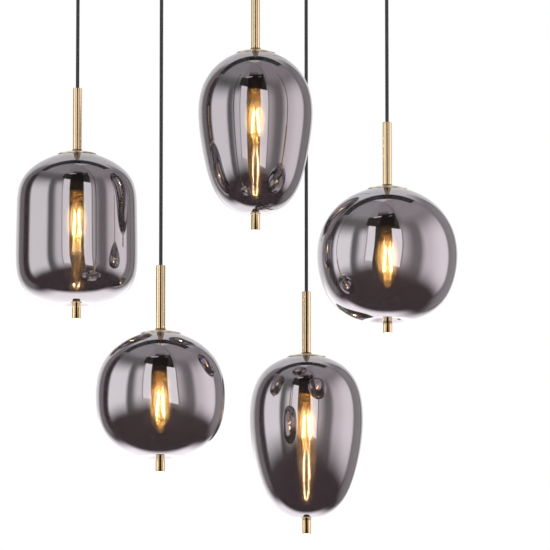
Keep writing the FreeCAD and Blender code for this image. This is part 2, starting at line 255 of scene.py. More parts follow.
def tube_mesh(name, paths, segs=12):
    """Closed round tubes along lists of (point, radius), in millimetres, all in one mesh."""
    bm = bmesh.new()
    for path in paths:
        pts = [Vector(p) for p, _ in path]
        rings = []
        ref = None
        for i, (p, r) in enumerate(path):
            d = (pts[min(i + 1, len(pts) - 1)] - pts[max(i - 1, 0)]).normalized()
            if ref is None:
                ref = d.orthogonal().normalized()
            u = (ref - d * ref.dot(d)).normalized()
            ref = u
            v = d.cross(u)
            rings.append([bm.verts.new((Vector(p) + (u * math.cos(2 * math.pi * j / segs) + v * math.sin(2 * math.pi * j / segs)) * r) * MM) for j in range(segs)])
        for a, b in zip(rings, rings[1:]):
            for j in range(segs):
                bm.faces.new((a[j], a[(j + 1) % segs], b[(j + 1) % segs], b[j]))
        bm.faces.new(list(reversed(rings[0])))
        bm.faces.new(rings[-1])
    me = bpy.data.meshes.new(name)
    bm.to_mesh(me)
    bm.free()
    mark_sharp(me, 50.0)
    return me


def merge(name, meshes, indices):
    """Several meshes in one, each with its own material index."""
    bm = bmesh.new()
    for me, k in zip(meshes, indices):
        start = len(bm.faces)
        bm.from_mesh(me)
        bm.faces.ensure_lookup_table()
        if k is not None:
            for f in bm.faces[start:]:
                f.material_index = k
    out = bpy.data.meshes.new(name)
    bm.to_mesh(out)
    bm.free()
    return out


def piece(name, me, mats, where, body, replaces=()):
    o = bpy.data.objects.new(name, me)
    scene.collection.objects.link(o)
    for m in mats:
        me.materials.append(m)
    o.location = where
    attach(o, body)
    if replaces:
        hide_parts(*replaces)
    return o


# ---------------------------------------------------------------- cords: first, straight down from each grip into the stem tube
cord_mat, n, b = material("braided_cord", Roughness=0.78, Specular_IOR_Level=0.25, Sheen_Weight=0.15, Sheen_Roughness=0.4)
obj, x, y, z = object_xyz(n)
ang = n.math("ARCTAN2", y, x)
# two sets of strands that wind opposite ways, 16 carriers, one full turn in 11 mm
turns = n.math("DIVIDE", ang, 2 * math.pi)
climb = n.math("DIVIDE", z, 0.011)
s1 = n.math("SINE", n.math("MULTIPLY", n.math("ADD", turns, climb), 2 * math.pi * 8))
s2 = n.math("SINE", n.math("MULTIPLY", n.math("SUBTRACT", turns, climb), 2 * math.pi * 8))
weave = n.math("MAXIMUM", s1, s2)
height = n.range(weave, -0.2, 1.0)
fuzz = n.noise(n.scaled(obj, (2600, 2600, 900)), 1.0, 3.0, 0.6)
tone = n.math("ADD", n.math("MULTIPLY", height, 0.75), n.math("MULTIPLY", fuzz, 0.35))
n.put(b.inputs["Base Color"], n.ramp(tone, [(0.0, (0.062, 0.063, 0.066)), (0.55, (0.085, 0.086, 0.090)), (1.0, (0.110, 0.111, 0.116))]))
n.put(b.inputs["Normal"], n.bump(n.math("ADD", height, n.math("MULTIPLY", fuzz, 0.3)), 0.4, 0.0002))

for name, x, y, pole, *_ in LAMPS:
    c = bpy.data.curves.new(name + "_pendant_cord", "CURVE")
    c.dimensions = "3D"
    c.bevel_depth = CORD_R * MM
    c.bevel_resolution = 6
    c.resolution_u = 8
    c.use_fill_caps = True
    sp = c.splines.new("NURBS")
    low = pole - 26.0
    route = [CORD_TOP, CORD_TOP - 15.0, (CORD_TOP + low) / 2, low + 15.0, low]
    sp.points.add(len(route) - 1)
    for p, zz in zip(sp.points, route):
        p.co = (0.0, 0.0, (zz - CORD_TOP) * MM, 1.0)
    sp.order_u = 3
    sp.use_endpoint_u = True
    o = bpy.data.objects.new(name + "_pendant_cord", c)
    scene.collection.objects.link(o)
    c.materials.append(cord_mat)
    o.location = (x * MM, y * MM, CORD_TOP * MM)
    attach(o, name + "_lamp")
    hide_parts(name + "_cord")

# ---------------------------------------------------------------- studio
world = bpy.data.worlds.new("studio")
world.use_nodes = True
wn = Nodes(world.node_tree)
wo = wn.new("ShaderNodeOutputWorld")
wb = wn.new("ShaderNodeBackground")
wb.inputs[0].default_value = (1, 1, 1, 1)
wb.inputs[1].default_value = 1.0
world.node_tree.links.new(wb.outputs[0], wo.inputs[0])
world.cycles.sampling_method = "NONE"
scene.world = world
scene.view_settings.view_transform = "Standard"
scene.view_settings.look = "None"
scene.view_settings.exposure = 0.0
scene.view_settings.gamma = 1.0
scene.cycles.max_bounces = 12
scene.cycles.diffuse_bounces = 3
scene.cycles.glossy_bounces = 7
scene.cycles.transmission_bounces = 6
scene.cycles.transparent_max_bounces = 40
scene.cycles.use_denoising = True
scene.cycles.sample_clamp_indirect = 12.0
scene.cycles.blur_glossy = 0.3

# a small halo round the lit rods, from the camera's lens
scene.use_nodes = True
ct = scene.node_tree
ct.nodes.clear()
layers = ct.nodes.new("CompositorNodeRLayers")
glare = ct.nodes.new("CompositorNodeGlare")
glare.glare_type = "BLOOM"
glare.quality = "HIGH"
glare.inputs["Threshold"].default_value = 1.6
glare.inputs["Smoothness"].default_value = 0.3
glare.inputs["Strength"].default_value = 0.4
glare.inputs["Size"].default_value = 0.14
glare.inputs["Tint"].default_value = (1.0, 0.85, 0.55, 1.0)
final = ct.nodes.new("CompositorNodeComposite")
ct.links.new(layers.outputs["Image"], glare.inputs["Image"])
ct.links.new(glare.outputs["Image"], final.inputs["Image"])

# the studio: soft boxes on both sides, a bright panel in front split where the camera stands, a black flag over it,
# a pale backdrop behind and a dark floor, all painted as light on the inside of one large sphere round the lamps
# the lower half is near the lamps and the upper half stands further off
bm = bmesh.new()
bmesh.ops.create_uvsphere(bm, u_segments=96, v_segments=64, radius=1.0)
for v in bm.verts:
    t = min(max((math.degrees(math.asin(max(-1.0, min(1.0, v.co.z)))) + 16.0) / 36.0, 0.0), 1.0)
    v.co *= 1.5 + 1.7 * t * t * (3 - 2 * t)
for f in bm.faces:
    f.smooth = True
me = bpy.data.meshes.new("studio_dome")
bm.to_mesh(me)
bm.free()
dome = bpy.data.objects.new("studio_dome", me)
scene.collection.objects.link(dome)
dome.location = (0.0, 0.0, -0.55)
dome.visible_camera = False
dome.visible_shadow = False
dm = bpy.data.materials.new("studio_light")
dm.use_nodes = True
dm.cycles.emission_sampling = "NONE"
n = Nodes(dm.node_tree)
me.materials.append(dm)
tc = n.new("ShaderNodeTexCoord")
unit = n.vec("NORMALIZE", tc.outputs["Object"])
sep = n.new("ShaderNodeSeparateXYZ")
n.put(sep.inputs[0], unit)
dx, dy, dz = sep.outputs
DEG = 180.0 / math.pi
az = n.math("MULTIPLY", n.math("ARCTAN2", dx, n.math("MULTIPLY", dy, -1.0)), DEG)
el = n.math("MULTIPLY", n.math("ARCSINE", n.math("MULTIPLY", dz, 0.99999)), DEG)
absaz = n.math("ABSOLUTE", az)


def band(v, a, b, s):
    """1 between a and b, with edges s wide each side."""
    up = n.range(v, a - s, a + s)
    down = n.range(v, b - s, b + s, 1.0, 0.0)
    return n.math("MULTIPLY", up, down)


def box(a0, a1, sa, e0, e1, se, slant=0.0):
    e = n.math("SUBTRACT", el, n.math("MULTIPLY", az, slant)) if slant else el
    return n.math("MULTIPLY", band(az, a0, a1, sa), band(e, e0, e1, se))


def pad(ac, wa, ec, we, p, soft):
    """A rounded soft box centred on (ac, ec), wa and we half wide."""
    u = n.math("POWER", n.math("ABSOLUTE", n.math("DIVIDE", n.math("SUBTRACT", az, ac), wa)), p)
    v = n.math("POWER", n.math("ABSOLUTE", n.math("DIVIDE", n.math("SUBTRACT", el, ec), we)), p)
    d = n.math("POWER", n.math("ADD", u, v), 1.0 / p)
    return n.range(d, 1 - soft, 1 + soft, 1.0, 0.0)


def times(*ms):
    out = ms[0]
    for m in ms[1:]:
        out = n.math("MULTIPLY", out, m)
    return out


COOL = (0.975, 0.99, 1.0)
light = rgba((0.062, 0.040, 0.047))                      # the dark floor


def lay(mask, level, tint=(1.0, 0.945, 0.975)):
    global light
    light = n.mix(mask, light, tuple(level * t for t in tint))


def window(lo0, lo1, hi0, hi1):
    """Fades in with height from lo0 to lo1, and out again from hi0 to hi1."""
    return n.math("MULTIPLY", n.range(el, lo0, lo1), n.range(el, hi0, hi1, 1.0, 0.0))


lay(n.range(el, 36.0, 54.0), 0.46)                                                       # ceiling
lay(times(band(az, 24.0, 122.0, 6.0), n.range(el, -36.0, -8.0)), 0.285)                  # right diffuser, and above it the lit ceiling
lay(times(band(az, 30.0, 124.0, 8.0), n.range(el, 34.0, 56.0)), 0.50)
lay(times(band(az, 60.0, 112.0, 6.5), window(-34.0, -6.0, 14.0, 50.0)), 1.10)
lay(times(n.range(az, 64.0, 97.0), band(az, 60.0, 112.0, 5.0), window(-32.0, -4.0, 14.0, 48.0)), 1.48, (1.0, 0.965, 0.99))
lay(times(band(az, -102.0, -30.0, 4.0), window(-32.0, -8.0, 60.0, 80.0)), 0.22, COOL)    # left diffuser
lay(times(band(az, -104.0, -30.0, 6.0), n.range(el, 42.0, 58.0)), 0.50, COOL)
lay(times(band(az, -99.0, -58.5, 4.0), window(-28.0, -6.0, 16.0, 41.0)), 1.50, COOL)
lay(times(n.range(az, 47.0, 27.0), window(-26.0, -2.0, 18.0, 44.0), n.range(az, -5.0, 0.0)), 0.90)        # soft light beside the front panel
lay(times(n.range(az, -51.0, -37.5), window(-26.0, -3.0, 20.0, 37.0), n.range(az, 0.0, -5.0)), 1.24, COOL)
# behind the lamps: a pale backdrop, brightest along the horizon, with a dark edge on each side of it
lay(times(n.range(absaz, 112.0, 122.0), n.range(el, -40.0, -24.0)), 0.30)
lay(times(band(az, 116.0, 160.0, 5.0), window(-34.0, -10.0, 30.0, 60.0)), 0.42)
lay(times(band(az, 143.5, 147.5, 0.8), window(-34.0, -20.0, 34.0, 50.0)), 0.16)
lay(times(n.range(az, 145.0, 157.0), n.range(el, -46.0, -18.0)), 0.95, COOL)
lay(times(n.range(az, -131.0, -143.0), n.range(el, -46.0, -18.0)), 0.95, COOL)
lay(times(n.range(absaz, 112.0, 150.0), n.range(el, 44.0, 60.0)), 0.98, COOL)
lay(times(n.range(az, 149.0, 163.0), window(-24.0, -6.0, 14.0, 27.0)), 1.05, (1.0, 1.0, 1.0))
lay(times(n.range(az, -134.0, -152.0), window(-24.0, -6.0, 14.0, 27.0)), 1.05, (1.0, 1.0, 1.0))
under = n.math("MULTIPLY", n.math("ARCTAN2", n.math("MULTIPLY", dz, -1.0), n.math("MULTIPLY", dy, -1.0)), DEG)
lay(times(n.range(under, 112.0, 128.0), n.range(n.math("ABSOLUTE", n.math("ADD", dx, 0.08)), 0.58, 0.26), n.range(dz, 0.0, -0.1)), 1.9, (0.99, 0.99, 1.0))   # the backdrop's sweep runs on under the lamps
slanted = n.math("ADD", el, n.math("MULTIPLY", az, 0.14))
leaning = n.math("SUBTRACT", el, n.math("MULTIPLY", az, 0.14))
lay(times(band(az, -30.0, 27.0, 0.5), band(slanted, -13.5, 33.5, 0.7)), 1.52, COOL)      # front panel
lay(times(band(az, -17.0, 11.0, 0.8), band(el, -26.0, 62.0, 6.0)), 0.036, (1.0, 0.8, 0.75))                        # where the camera stands
lay(times(band(az, -31.6, -29.6, 0.5), band(el, -13.0, 34.0, 1.0)), 0.70)                # the panel's frame
lay(times(band(az, 26.6, 28.4, 0.5), band(el, -18.0, 32.0, 1.0)), 0.34)
lay(times(band(az, -36.0, 25.0, 1.2), n.range(slanted, 32.6, 34.0), n.range(leaning, 56.4, 58.2, 1.0, 0.0)), 0.020, (1.0, 0.92, 0.92))     # black flag
lay(times(band(az, -25.0, -8.0, 2.0), band(leaning, 55.2, 56.8, 0.5)), 1.5)              # the lit edge of the flag's rail
lay(times(band(az, 9.0, 18.0, 2.0), band(leaning, 52.4, 53.4, 0.5)), 0.6)
over = n.math("MULTIPLY", n.math("ARCTAN2", dz, n.math("MULTIPLY", dy, -1.0)), DEG)
lay(times(band(over, 98.0, 113.0, 1.2), band(dx, -0.64, 0.44, 0.015), n.range(dz, 0.2, 0.35)), 0.040, (1.0, 0.95, 1.0))     # rail overhead
em = n.new("ShaderNodeEmission")
n.put(em.inputs[0], light)
clear = n.new("ShaderNodeBsdfTransparent")
geo = n.new("ShaderNodeNewGeometry")
mix = n.new("ShaderNodeMixShader")
n.put(mix.inputs[0], geo.outputs["Backfacing"])
n.put(mix.inputs[1], clear.outputs[0])
n.put(mix.inputs[2], em.outputs[0])
out = n.new("ShaderNodeOutputMaterial")
n.put(out.inputs[0], mix.outputs[0])

# pale floor far below, fading out at its edge
bm = bmesh.new()
bmesh.ops.create_circle(bm, cap_ends=True, segments=96, radius=3.4)
me = bpy.data.meshes.new("floor")
bm.to_mesh(me)
bm.free()
floor = bpy.data.objects.new("floor", me)
scene.collection.objects.link(floor)
floor.location = (0, 0, -2.6)
fm, n, b = material("floor_paint", Roughness=0.9, Specular_IOR_Level=0.1)
obj, x, y, z = object_xyz(n)
n.put(b.inputs["Base Color"], n.ramp(n.noise(n.scaled(obj, (3, 3, 3)), 1.0, 3.0), [(0.3, (0.80, 0.80, 0.80)), (0.7, (0.84, 0.84, 0.84))]))
rad = n.vec("LENGTH", obj)
n.put(b.inputs["Alpha"], n.range(rad, 1.2, 3.3, 1.0, 0.0))
me.materials.append(fm)

# ---------------------------------------------------------------- finishes
def mirror_glass(name, k):
    """Half-mirrored smoke glass. k is this lamp's painted light level: it makes a darker or lighter copy of the glass,
    standing in for how brightly the studio is reflected where the lamp hangs.
    """
    m, n, b = material(name, Metallic=1.0, Roughness=0.02, Alpha=0.88)
    obj, x, y, z = object_xyz(n)
    cloud = n.noise(n.scaled(obj, (14, 14, 9)), 1.0, 3.0, 0.5)
    n.put(b.inputs["Base Color"], n.ramp(cloud, [(0.25, tuple(k * c for c in (0.445, 0.408, 0.430))), (0.75, tuple(k * c for c in (0.468, 0.430, 0.452)))]))
    n.put(b.inputs["Normal"], n.bump(n.noise(n.scaled(obj, (26, 26, 13)), 1.0, 1.0), 0.12, 0.0006))
    return m


# painted light and shade: each lamp's glass is a darker or lighter copy, standing in for how brightly the studio is
# reflected where it hangs
PAINTED_LIGHT_LEVEL = {"upper_egg": 0.88, "right_globe": 1.04, "left_barrel": 0.90, "lower_globe": 1.02, "lower_egg": 1.0}
glass = {name: mirror_glass("smoked_mirror_glass_" + name, k) for name, k in PAINTED_LIGHT_LEVEL.items()}

glass_in, n, b = material("smoked_glass_inside", Base_Color=(0.30, 0.26, 0.28), Metallic=0.0, Roughness=0.05, Alpha=0.06)
obj, x, y, z = object_xyz(n)
n.put(b.inputs["Base Color"], n.ramp(n.noise(n.scaled(obj, (14, 14, 9)), 1.0, 3.0), [(0.2, (0.27, 0.23, 0.25)), (0.8, (0.33, 0.29, 0.31))]))


def brass_finish(name, base, rough, spin=True, lines=9000.0, depth=0.00001, painted_dark_middle=None, painted_glow_reach=0.0, painted_flange_shade=False):
    """Satin brass: very fine turned lines, a little cloudiness and faint handling marks. It can also carry painted
    light: a painted dark reflection down each rod's middle, painted shade on the flange under the tube and painted warm
    light on a pin's upper end.
    """
    m, n, b = material(name, Metallic=1.0, Roughness=rough)
    obj, x, y, z = object_xyz(n)
    grain = n.noise(n.scaled(obj, (60.0, 60.0, lines)) if spin else n.scaled(obj, (lines, lines, 60.0)), 1.0, 3.0, 0.6)
    cloud = n.noise(n.scaled(obj, (55, 55, 40)), 1.0, 3.0, 0.55)
    lo, hi = tuple(c * 0.965 for c in base), tuple(min(c * 1.035, 1.0) for c in base)
    col = n.ramp(n.math("ADD", n.math("MULTIPLY", grain, 0.35), n.math("MULTIPLY", cloud, 0.65)), [(0.25, lo), (0.75, hi)])
    if painted_dark_middle:                             # painted reflection: where each rod faces the camera, its middle is painted dark brown, standing in for the dark studio reflected there
        weight = n.new("ShaderNodeLayerWeight")
        weight.inputs["Blend"].default_value = 0.5
        col = n.mix(n.range(weight.outputs["Facing"], painted_dark_middle[0], painted_dark_middle[1], 1.0, 0.0), col, (0.090, 0.045, 0.013))
        if painted_flange_shade:                         # painted shade: the flange at the tube's lower end is painted dark brown
            col = n.mix(n.range(z, 0.0045, 0.0037), col, (0.20, 0.12, 0.05))
        if painted_glow_reach:                          # painted light: warm light off the glass is painted as emission on the rod's upper end
            painted_glow_mask = n.math("MULTIPLY", n.range(z, -painted_glow_reach * 1.15, -painted_glow_reach * 0.8), n.range(weight.outputs["Facing"], painted_dark_middle[0], painted_dark_middle[1]))
            n.put(b.inputs["Emission Color"], n.mix(painted_glow_mask, (0, 0, 0), (1.0, 0.76, 0.47)))
            b.inputs["Emission Strength"].default_value = 0.48
    n.put(b.inputs["Base Color"], col)
    n.put(b.inputs["Roughness"], n.range(n.math("ADD", n.math("MULTIPLY", grain, 0.5), n.math("MULTIPLY", cloud, 0.5)), 0.3, 0.7, rough * 0.94, rough * 1.08, "LINEAR"))
    n.put(b.inputs["Normal"], n.bump(grain, 0.03, depth))
    return m


BRASS = (0.86, 0.68, 0.43)
brass = brass_finish("satin_brass", BRASS, 0.19, lines=5000.0)
brass_tube = brass_finish("satin_brass_tube", (0.86, 0.66, 0.41), 0.20, lines=2500.0, painted_dark_middle=(0.030, 0.053), painted_flange_shade=True)
brass_pin = {painted_glow_reach: brass_finish("satin_brass_pin_%d" % i, (0.86, 0.66, 0.39), 0.20, lines=2500.0, painted_dark_middle=(0.030, 0.055), painted_glow_reach=painted_glow_reach) for i, painted_glow_reach in enumerate((0.0022, 0.0080))}
brass_cap = brass_finish("satin_brass_cap", (0.94, 0.79, 0.55), 0.34, spin=False, lines=1500.0)
brass_canopy = brass_finish("satin_brass_canopy", (0.80, 0.61, 0.35), 0.27, spin=True, lines=5000.0)

holder_mat, n, b = material("black_thermoset", Roughness=0.42, Specular_IOR_Level=0.45, Coat_Weight=0.1, Coat_Roughness=0.3)
obj, x, y, z = object_xyz(n)
n.put(b.inputs["Base Color"], n.ramp(n.noise(n.scaled(obj, (300, 300, 300)), 1.0, 4.0), [(0.3, (0.018, 0.018, 0.019)), (0.7, (0.030, 0.030, 0.031))]))
n.put(b.inputs["Normal"], n.bump(n.noise(n.scaled(obj, (2500, 2500, 2500)), 1.0, 2.0), 0.15, 0.0001))

rubber, n, b = material("grommet_rubber", Roughness=0.62, Specular_IOR_Level=0.35)
obj, x, y, z = object_xyz(n)
n.put(b.inputs["Base Color"], n.ramp(n.noise(n.scaled(obj, (900, 900, 900)), 1.0, 3.0), [(0.3, (0.016, 0.016, 0.016)), (0.7, (0.028, 0.028, 0.028))]))
n.put(b.inputs["Normal"], n.bump(n.noise(n.scaled(obj, (4000, 4000, 4000)), 1.0, 2.0), 0.2, 0.0001))

nickel, n, b = material("nickel_shell", Metallic=1.0, Roughness=0.18)
obj, x, y, z = object_xyz(n)
n.put(b.inputs["Base Color"], n.ramp(n.noise(n.scaled(obj, (120, 120, 120)), 1.0, 3.0), [(0.3, (0.66, 0.63, 0.58)), (0.7, (0.76, 0.73, 0.69))]))
n.put(b.inputs["Roughness"], n.range(n.noise(n.scaled(obj, (700, 700, 2500)), 1.0, 3.0), 0.3, 0.7, 0.14, 0.26, "LINEAR"))

collar_mat, n, b = material("bulb_collar", Metallic=1.0, Roughness=0.22, Emission_Strength=2.2)
obj, x, y, z = object_xyz(n)
foil = n.noise(n.scaled(obj, (420, 420, 300)), 1.0, 2.0, 0.5, 1.5)
n.put(b.inputs["Base Color"], n.ramp(foil, [(0.3, (0.62, 0.40, 0.15)), (0.7, (0.80, 0.56, 0.24))]))
low = n.range(z, -0.0705, -0.0615, 1.0, 0.12)          # painted light: the collar is given a warm emission, strongest at its lower edge, where the rods' light reaches most
n.put(b.inputs["Emission Color"], n.mix(n.math("MULTIPLY", n.range(foil, 0.50, 0.62), low), (0.020, 0.009, 0.002), (1.0, 0.62, 0.20)))
n.put(b.inputs["Normal"], n.bump(foil, 0.6, 0.0012))

bulb_mat, n, b = material("golden_bulb_glass", Metallic=1.0, Roughness=0.05, Alpha=0.24, Emission_Strength=9.0)
obj, x, y, z = object_xyz(n)
n.put(b.inputs["Base Color"], n.ramp(n.noise(n.scaled(obj, (90, 90, 45)), 1.0, 3.0), [(0.25, (0.88, 0.60, 0.26)), (0.75, (0.98, 0.74, 0.38))]))
n.put(b.inputs["Normal"], n.bump(n.noise(n.scaled(obj, (160, 160, 70)), 1.0, 2.0), 0.5, 0.0008))
# painted light: golden streaks of the rods' light are painted as emission in the blown glass, strongest in the middle,
# in front of the rods
painted_streak = n.noise(n.scaled(obj, (210, 210, 9)), 1.0, 2.0, 0.5, 0.2)
weight = n.new("ShaderNodeLayerWeight")
weight.inputs["Blend"].default_value = 0.5
middle = n.range(weight.outputs["Facing"], 0.62, 0.10)
lit = n.math("MULTIPLY", n.range(z, -0.131, -0.112), n.range(z, -0.074, -0.086))
faint = n.ramp(painted_streak, [(0.40, (0.014, 0.006, 0.001)), (0.55, (0.050, 0.024, 0.005)), (0.66, (0.42, 0.23, 0.055))])
strong = n.ramp(painted_streak, [(0.36, (0.13, 0.065, 0.014)), (0.50, (0.55, 0.345, 0.10)), (0.60, (1.0, 0.77, 0.36))])
n.put(b.inputs["Emission Color"], n.mix(n.math("MULTIPLY", middle, lit), faint, strong))

# painted light: the glass stem is given a warm emission, standing in for the rods' light caught in it
stem_mat, n, b = material("bulb_stem_glass", Roughness=0.12, Specular_IOR_Level=0.6, Emission_Color=(1.0, 0.60, 0.20), Emission_Strength=2.0)
obj, x, y, z = object_xyz(n)
n.put(b.inputs["Base Color"], n.ramp(n.noise(n.scaled(obj, (500, 500, 250)), 1.0, 3.0), [(0.3, (0.45, 0.28, 0.12)), (0.7, (0.75, 0.55, 0.30))]))

filament, n, b = material("lit_filament", Roughness=0.4, Emission_Color=(1.0, 0.83, 0.46), Emission_Strength=85.0)
obj, x, y, z = object_xyz(n)
n.put(b.inputs["Base Color"], n.ramp(n.noise(n.scaled(obj, (900, 900, 900)), 1.0, 2.0), [(0.3, (0.85, 0.62, 0.22)), (0.7, (0.95, 0.75, 0.35))]))

# painted highlight: the support wires are given a warm emission, standing in for the rods' light on them
wire_mat, n, b = material("bulb_wire", Metallic=1.0, Roughness=0.22, Emission_Color=(1.0, 0.72, 0.32), Emission_Strength=8.0)
obj, x, y, z = object_xyz(n)
n.put(b.inputs["Base Color"], n.ramp(n.noise(n.scaled(obj, (600, 600, 600)), 1.0, 2.0), [(0.3, (0.78, 0.58, 0.32)), (0.7, (0.88, 0.68, 0.40))]))

steel, n, b = material("zinc_plate", Metallic=1.0, Roughness=0.32)
obj, x, y, z = object_xyz(n)
spangle = n.new("ShaderNodeTexVoronoi")
n.put(spangle.inputs["Vector"], n.scaled(obj, (130, 130, 130)))
n.put(spangle.inputs["Scale"], 1.0)
tone = n.math("ADD", n.math("MULTIPLY", spangle.outputs[0], 0.4), n.math("MULTIPLY", n.noise(n.scaled(obj, (40, 40, 40)), 1.0, 4.0), 0.6))
n.put(b.inputs["Base Color"], n.ramp(tone, [(0.2, (0.56, 0.57, 0.59)), (0.8, (0.68, 0.69, 0.70))]))
n.put(b.inputs["Roughness"], n.range(tone, 0.2, 0.8, 0.26, 0.40, "LINEAR"))

wiring, n, b = material("wiring_plastic", Roughness=0.45, Specular_IOR_Level=0.45)
obj, x, y, z = object_xyz(n)
n.put(b.inputs["Base Color"], n.ramp(n.noise(n.scaled(obj, (60, 60, 60)), 1.0, 3.0), [(0.3, (0.72, 0.72, 0.70)), (0.7, (0.80, 0.80, 0.78))]))

for node, m, slot in (("ceiling_bracket", steel, "bracket_steel"), ("wiring_harness", wiring, "harness_plastic"),
                      ("canopy_cover", brass_canopy, "canopy_brass"), ("cord_grips", brass, "brass"), ("cover_screws", brass, "brass")):
    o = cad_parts[node]
    o.data.materials.clear()
    o.data.materials.append(m)
    o.visible_glossy = False            # the lamps mirror the studio's ceiling, as in the photograph, and not the canopy

# ---------------------------------------------------------------- shade outline, the same as the CAD shade's
def chebyshev(c, t):
    b1 = b2 = 0.0
    for a in reversed(c[1:]):
        b1, b2 = 2 * t * b1 - b2 + a, b1
    return t * b1 - b2 + c[0]


class Shade:
    def __init__(self, height, radius, series, dimple, dimple_r):
        self.h, self.series, self.k = height, series, 1.0
        self.k = radius / max(self.base(i / 400.0) for i in range(401))
        self.dimple, self.dimple_r = dimple, dimple_r

    def base(self, u):
        return self.k * self.h * math.sqrt(max(u * (1 - u) * chebyshev(self.series, 2 * u - 1), 0.0))

    def u_at(self, r, bottom=False):
        lo, hi = (0.5, 1.0) if bottom else (0.0, 0.4)
        for _ in range(60):
            m = (lo + hi) / 2
            grows = self.base(m) < r
            if bottom:
                lo, hi = (lo, m) if grows else (m, hi)
            else:
                lo, hi = (m, hi) if grows else (lo, m)
        return (lo + hi) / 2

    def top_z(self, r):
        return -self.h * self.u_at(r)

    def outer(self, n=110, nd=22):
        u0, u1 = self.u_at(NECK_R), self.u_at(self.dimple_r, True)
        pts = []
        for i in range(n + 1):
            u = u0 + (u1 - u0) * (0.5 - 0.5 * math.cos(math.pi * i / n))
            pts.append((self.base(u), -self.h * u))
        ra, za = pts[-1]
        rb, zb = SEAT_R, -self.h + self.dimple
        eps = 1e-3
        slope = -self.h * (self.u_at(ra + eps, True) - self.u_at(ra - eps, True)) / (2 * eps)
        for i in range(1, nd + 1):
            t = i / nd
            h00, h10, h01 = 2 * t**3 - 3 * t**2 + 1, t**3 - 2 * t**2 + t, -2 * t**3 + 3 * t**2
            pts.append((ra + (rb - ra) * t, h00 * za + h10 * slope * (rb - ra) + h01 * zb))
        return pts

    def offset(self, pts, d):
        out = []
        for i, (r, z) in enumerate(pts):
            a, b = pts[max(i - 1, 0)], pts[min(i + 1, len(pts) - 1)]
            tr, tz = b[0] - a[0], b[1] - a[1]
            m = math.hypot(tr, tz)
            out.append((r + tz / m * d, z - tr / m * d))
        return out


def arc_z(r, z_top, z_rim, rim_r):
    drop = z_top - z_rim
    big = (rim_r**2 + drop**2) / (2 * drop)
    return z_top - big + math.sqrt(big**2 - r**2)


def shade_mesh(name, s):
    out = s.outer()
    inn = s.offset(out, WALL)
    inn[0] = (NECK_R, inn[0][1])
    z_seat = out[-1][1] + WALL
    inn[-1] = (SEAT_R, z_seat)
    edge = [(FINIAL_HOLE_R, out[-1][1]), (FINIAL_HOLE_R, z_seat)]
    outline = out + edge + list(reversed(inn))
    segs = 160
    me = lathe(name, outline, segs=segs, sharp=40.0)
    # the first rings of faces are the outer skin, and the rest are the edges of the holes and the inner face
    for p in me.polygons:
        if p.index // segs >= len(out) - 1:
            p.material_index = 1
    return me


# ---------------------------------------------------------------- lamps
def tube_outline():
    top = 94.0
    pts = [
        (2.58, top, 0.2), (6.5, top, 0.7), (6.5, CAP_RISE + 1.8, 0.25), (7.6, CAP_RISE + 1.8, 0.4), (7.6, CAP_RISE, 0.15),
        (4.9, CAP_RISE, 0), (4.9, -22.0, 0.3), (3.5, -22.0, 0.2), (3.5, CAP_RISE + 6.0, 0), (5.3, CAP_RISE + 8.0, 0), (5.3, top - 4.0, 0), (2.58, top - 4.0, 0),
    ]
    return fillet(pts, 0.3)


def cap_outline(s):
    z_rim = s.top_z(CAP_R) + CAP_T + 0.5
    hole = 5.1
    m = 20
    rs = [hole + (CAP_R - hole) * i / m for i in range(m + 1)]
    top = [(r, arc_z(r, CAP_RISE, z_rim, CAP_R)) for r in rs]
    low = [(r, z - CAP_T) for r, z in reversed(top)]
    # the rim is rolled, not cut square
    top = top[:-1] + [(CAP_R - 0.45, top[-1][1] + 0.02), (CAP_R - 0.12, top[-1][1] - 0.14), (CAP_R, top[-1][1] - 0.5)]
    low = [(CAP_R - 0.12, low[0][1] + 0.12), (CAP_R - 0.5, low[0][1])] + low[1:]
    return top + low


def holder_outline():
    return fillet([
        (5.05, -15.8, 0), (8.4, -15.8, 0.8), (10.0, -18.3, 0.6), (10.0, -36.0, 0.2), (10.6, -37.0, 0.2), (10.6, -55.2, 0.3), (9.8, -56.0, 0.3),
        (7.15, -56.0, 0.2), (7.15, -33.0, 0), (1.6, -33.0, 0), (1.6, -30.0, 0), (8.2, -30.0, 0), (8.2, -21.5, 0), (5.05, -21.5, 0)], 0.3)


def holder_ribs(r, z, a):
    if r > 10.3 and -54.8 < z < -37.4:
        return r - 0.28 * (0.5 - 0.5 * math.cos(a * 30)) ** 3
    return r


